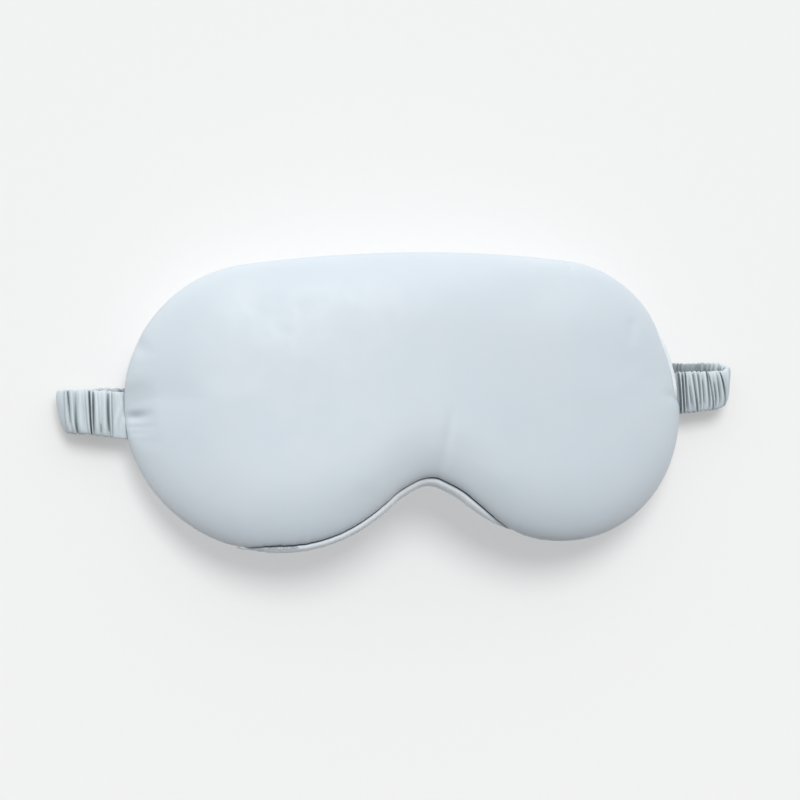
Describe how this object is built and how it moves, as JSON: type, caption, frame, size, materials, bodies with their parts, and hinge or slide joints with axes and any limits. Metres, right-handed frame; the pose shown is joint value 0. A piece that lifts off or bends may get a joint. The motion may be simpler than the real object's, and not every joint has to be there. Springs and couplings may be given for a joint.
{
  "type": "sleep eye mask",
  "caption": "Padded satin sleep eye mask, bent to the face, with a nose notch and a gathered elastic strap whose ends fold back under the pad.",
  "frame": {"origin": "on the floor under the middle of the pad, the centre of the bounding box's bottom face", "axes": "+X along the width towards the wearer's left temple, +Y towards the brow, +Z out of the front of the mask"},
  "size_m": [0.261, 0.1105, 0.0346],
  "materials": {
    "pad_satin": "pale ice-blue satin",
    "strap_satin": "pale ice-blue satin, gathered",
    "wadding": "soft white wadding",
    "blackout_cloth": "matt black plain weave",
    "elastic": "ribbed elastic webbing",
    "thread": "twisted sewing thread"
  },
  "bodies": {
    "pad": {"front_panel": "pad_satin", "front_wadding": "wadding", "blackout_liner": "blackout_cloth", "back_wadding": "wadding", "back_panel": "pad_satin", "edge_seam_thread": "thread", "closing_stitch": "thread", "left_strap_root": "strap_satin", "right_strap_root": "strap_satin"},
    "left_front_run": {"left_end_tab": "strap_satin", "left_bar_tack": "thread", "left_front_casing": "strap_satin", "left_front_elastic": "elastic", "left_fold_casing": "strap_satin", "left_fold_elastic": "elastic"},
    "left_return_run": {"left_return_casing": "strap_satin", "left_return_elastic": "elastic"},
    "left_back_run": {"left_back_casing": "strap_satin", "left_back_elastic": "elastic"},
    "right_front_run": {"right_end_tab": "strap_satin", "right_bar_tack": "thread", "right_front_casing": "strap_satin", "right_front_elastic": "elastic", "right_fold_casing": "strap_satin", "right_fold_elastic": "elastic"},
    "right_return_run": {"right_return_casing": "strap_satin", "right_return_elastic": "elastic"},
    "right_back_run": {"right_back_casing": "strap_satin", "right_back_elastic": "elastic"},
    "middle_back_run": {"middle_back_casing": "strap_satin", "middle_back_elastic": "elastic"}
  },
  "joints": [
    {"name": "left_seam_flex", "type": "hinge", "parent": "pad", "child": "left_front_run", "pos_m": [-0.109, 0.0015, 0.0095], "axis": [0, -1, 0], "range_deg": [0, 78]},
    {"name": "left_fold_flex", "type": "hinge", "parent": "left_front_run", "child": "left_return_run", "pos_m": [-0.1275, 0.0015, 0.00625], "axis": [0, 1, 0], "range_deg": [0, 156]},
    {"name": "left_back_flex", "type": "hinge", "parent": "left_return_run", "child": "left_back_run", "pos_m": [-0.109, 0.0015, 0.003], "axis": [0, -1, 0], "range_deg": [0, 78]},
    {"name": "left_strap_stretch", "type": "slide", "parent": "left_back_run", "child": "middle_back_run", "axis": [0, 0, -1], "range_m": [0, 0.09]},
    {"name": "right_strap_stretch", "type": "slide", "parent": "middle_back_run", "child": "right_back_run", "axis": [0, 0, 1], "range_m": [0, 0.09]},
    {"name": "right_back_flex", "type": "hinge", "parent": "right_back_run", "child": "right_return_run", "pos_m": [0.109, 0.0015, 0.003], "axis": [0, -1, 0], "range_deg": [0, 78]},
    {"name": "right_fold_flex", "type": "hinge", "parent": "right_return_run", "child": "right_front_run", "pos_m": [0.1275, 0.0015, 0.00625], "axis": [0, 1, 0], "range_deg": [0, 156]}
  ],
  "couplings": [
    {"joint": "left_fold_flex", "follows": "left_seam_flex", "ratio": 2},
    {"joint": "left_back_flex", "follows": "left_seam_flex", "ratio": 1},
    {"joint": "right_back_flex", "follows": "left_seam_flex", "ratio": 1},
    {"joint": "right_fold_flex", "follows": "left_seam_flex", "ratio": 2},
    {"joint": "right_strap_stretch", "follows": "left_strap_stretch", "ratio": 1}
  ]
}
